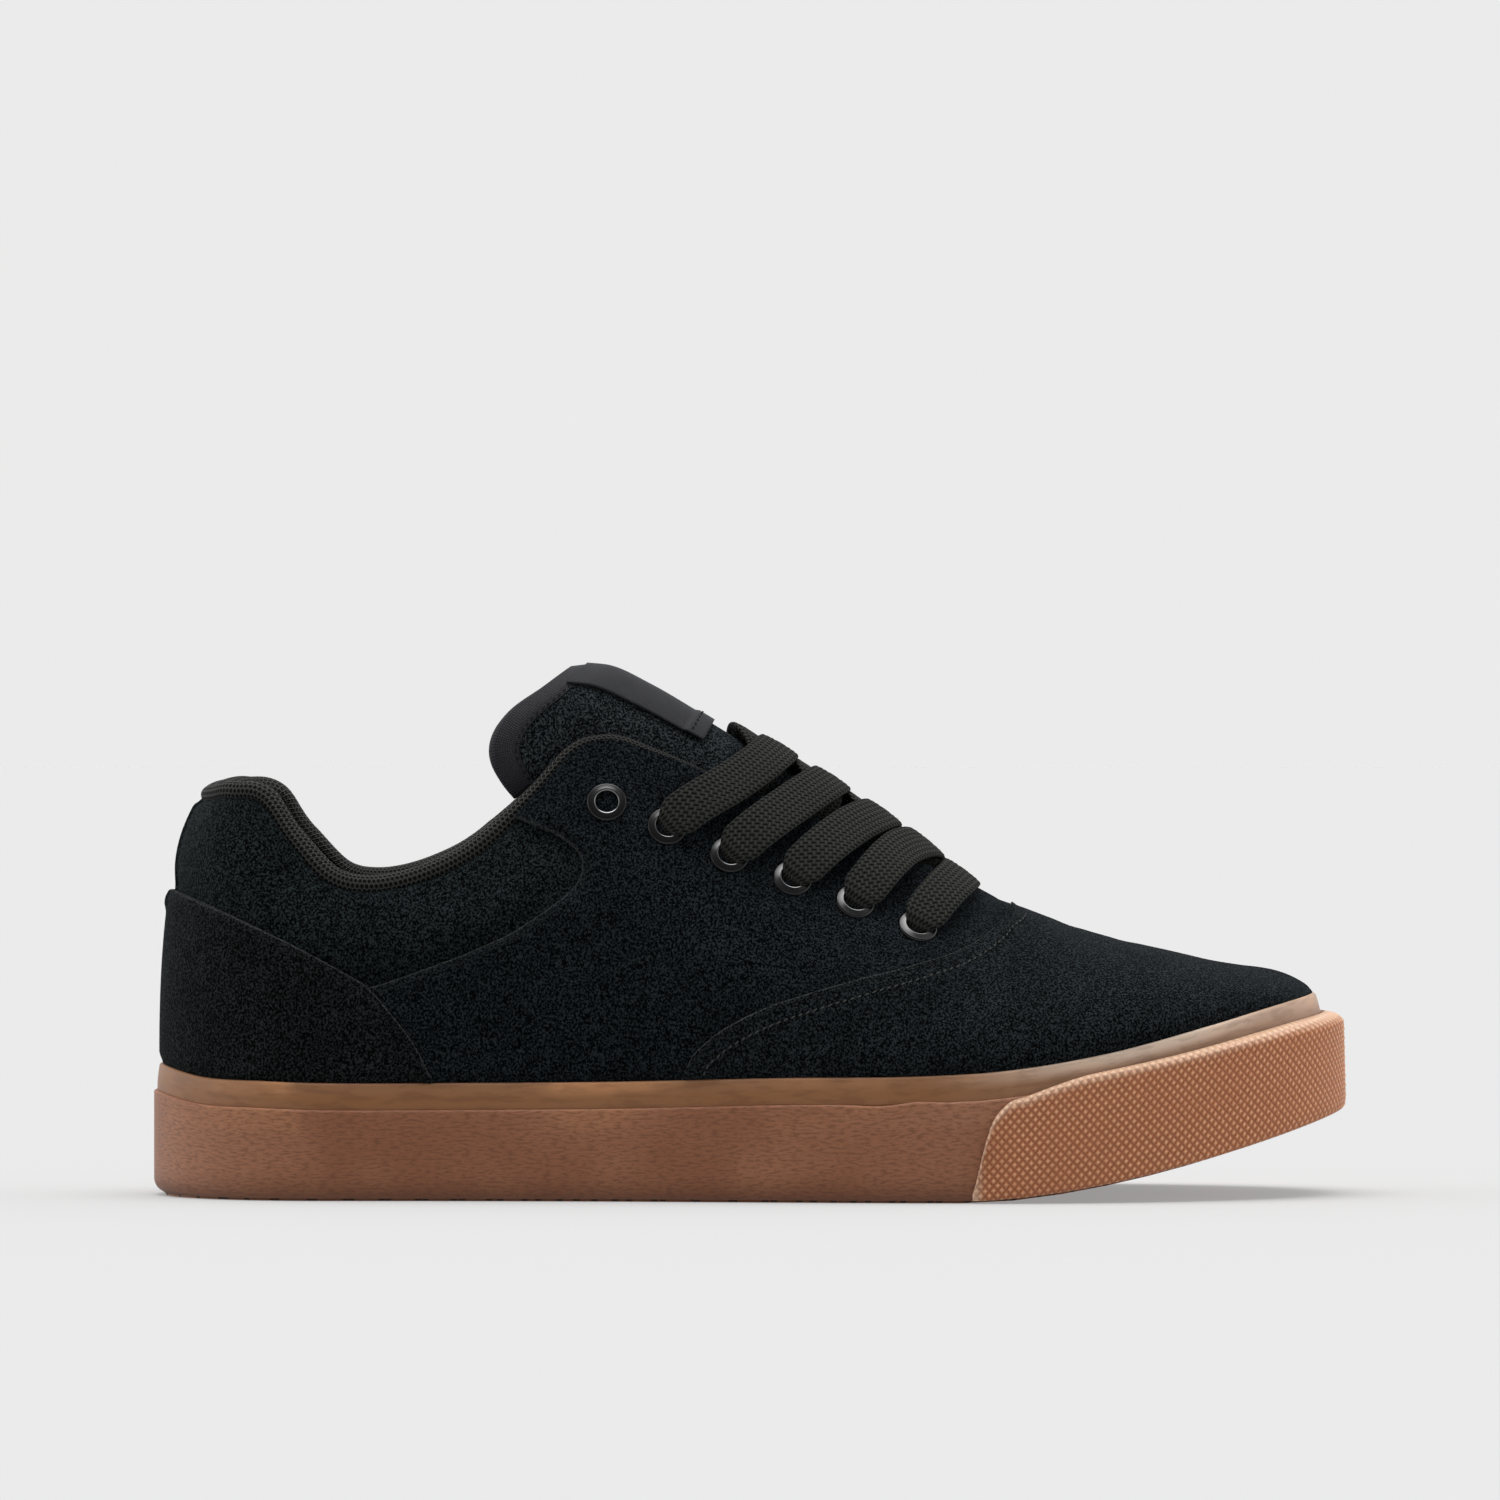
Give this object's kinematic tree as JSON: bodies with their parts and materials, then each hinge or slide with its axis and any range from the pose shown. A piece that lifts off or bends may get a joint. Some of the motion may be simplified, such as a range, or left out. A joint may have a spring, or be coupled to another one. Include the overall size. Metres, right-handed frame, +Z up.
{
  "type": "sneaker",
  "caption": "Low-top lace-up suede skate sneaker for the right foot, with a padded tongue and collar, a flat vulcanised gum sole and a patterned toe bumper",
  "frame": {"origin": "middle of the shoe's length and width, on the floor", "axes": "+X from heel to toe, +Y to the medial side (the inside of a right foot), +Z up"},
  "size_m": [0.2979, 0.1106, 0.133],
  "materials": {
    "gum_rubber": "matte moulded gum rubber with a fine wrinkled grain",
    "pale_gum_rubber": "smooth, slightly translucent pale gum rubber",
    "sock_liner": "black woven cloth on foam",
    "suede": "black suede with a short nap",
    "knit": "black spacer knit over foam",
    "edge_tape": "dark grey smooth woven tape",
    "enamel": "glossy black enamel",
    "lace": "black flat woven cotton"
  },
  "bodies": {
    "root": {"outsole": "gum_rubber", "foxing_tape": "gum_rubber", "foxing_stripe": "pale_gum_rubber", "toe_bumper": "gum_rubber", "insole": "sock_liner", "upper": "suede", "vamp": "suede", "quarter_lateral": "suede", "quarter_medial": "suede", "heel_counter": "suede", "collar_binding": "knit", "tongue": "suede", "tongue_binding": "edge_tape", "tongue_label": "edge_tape", "eyelet_lateral_1": "enamel", "eyelet_lateral_2": "enamel", "eyelet_lateral_3": "enamel", "eyelet_lateral_4": "enamel", "eyelet_lateral_5": "enamel", "eyelet_lateral_6": "enamel", "eyelet_medial_1": "enamel", "eyelet_medial_2": "enamel", "eyelet_medial_3": "enamel", "eyelet_medial_4": "enamel", "eyelet_medial_5": "enamel", "eyelet_medial_6": "enamel", "lace_cross_2": "lace", "lace_cross_3": "lace", "lace_cross_4": "lace", "lace_cross_5": "lace", "lace_bar": "lace"}
  },
  "joints": []
}
